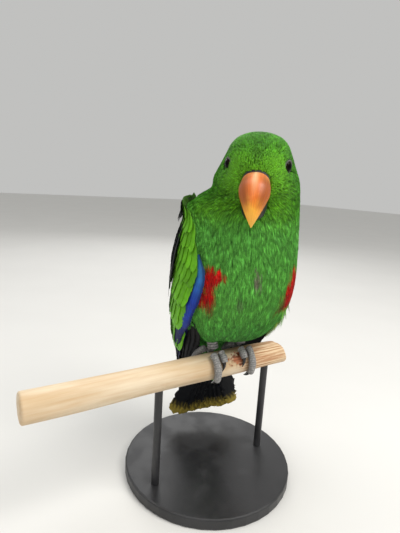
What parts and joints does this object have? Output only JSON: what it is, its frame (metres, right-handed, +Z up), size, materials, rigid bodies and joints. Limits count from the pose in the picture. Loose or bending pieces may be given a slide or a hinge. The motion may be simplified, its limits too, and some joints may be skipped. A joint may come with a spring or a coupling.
{
  "type": "still model of a male eclectus parrot on a perch",
  "caption": "Life-size still model of a male eclectus parrot gripping a cut length of branch, held by two rods over a flat round stand base.",
  "frame": {"origin": "centre of the stand base's flat underside", "axes": "+Z up; the perch runs along X and the feet grip it square, facing -Y; the bird's left is towards +X; its body is turned 20 degrees and its head 42 degrees towards -X"},
  "size_m": [0.252, 0.16, 0.3181],
  "materials": {
    "plumage_green": "matte",
    "wing_green": "satin",
    "tail_dark": "satin",
    "bill_orange": "gloss",
    "bill_black": "satin",
    "skin_grey": "matte",
    "claw_black": "satin",
    "eye_dark": "gloss",
    "perch_wood": "matte",
    "stand_black": "satin"
  },
  "bodies": {
    "root": {"bill_lower": "bill_black", "bill_upper": "bill_orange", "claw_back_inner_left": "claw_black", "claw_back_inner_right": "claw_black", "claw_back_outer_left": "claw_black", "claw_back_outer_right": "claw_black", "claw_front_inner_left": "claw_black", "claw_front_inner_right": "claw_black", "claw_front_outer_left": "claw_black", "claw_front_outer_right": "claw_black", "eye_left": "eye_dark", "eye_right": "eye_dark", "head": "plumage_green", "leg_left": "skin_grey", "leg_right": "skin_grey", "neck": "plumage_green", "perch": "perch_wood", "stand_base": "stand_black", "stand_rod_left": "stand_black", "stand_rod_right": "stand_black", "tail": "tail_dark", "thigh_left": "plumage_green", "thigh_right": "plumage_green", "toe_back_inner_left": "skin_grey", "toe_back_inner_right": "skin_grey", "toe_back_outer_left": "skin_grey", "toe_back_outer_right": "skin_grey", "toe_front_inner_left": "skin_grey", "toe_front_inner_right": "skin_grey", "toe_front_outer_left": "skin_grey", "toe_front_outer_right": "skin_grey", "torso": "plumage_green", "wing_left": "wing_green", "wing_right": "wing_green"}
  },
  "joints": []
}
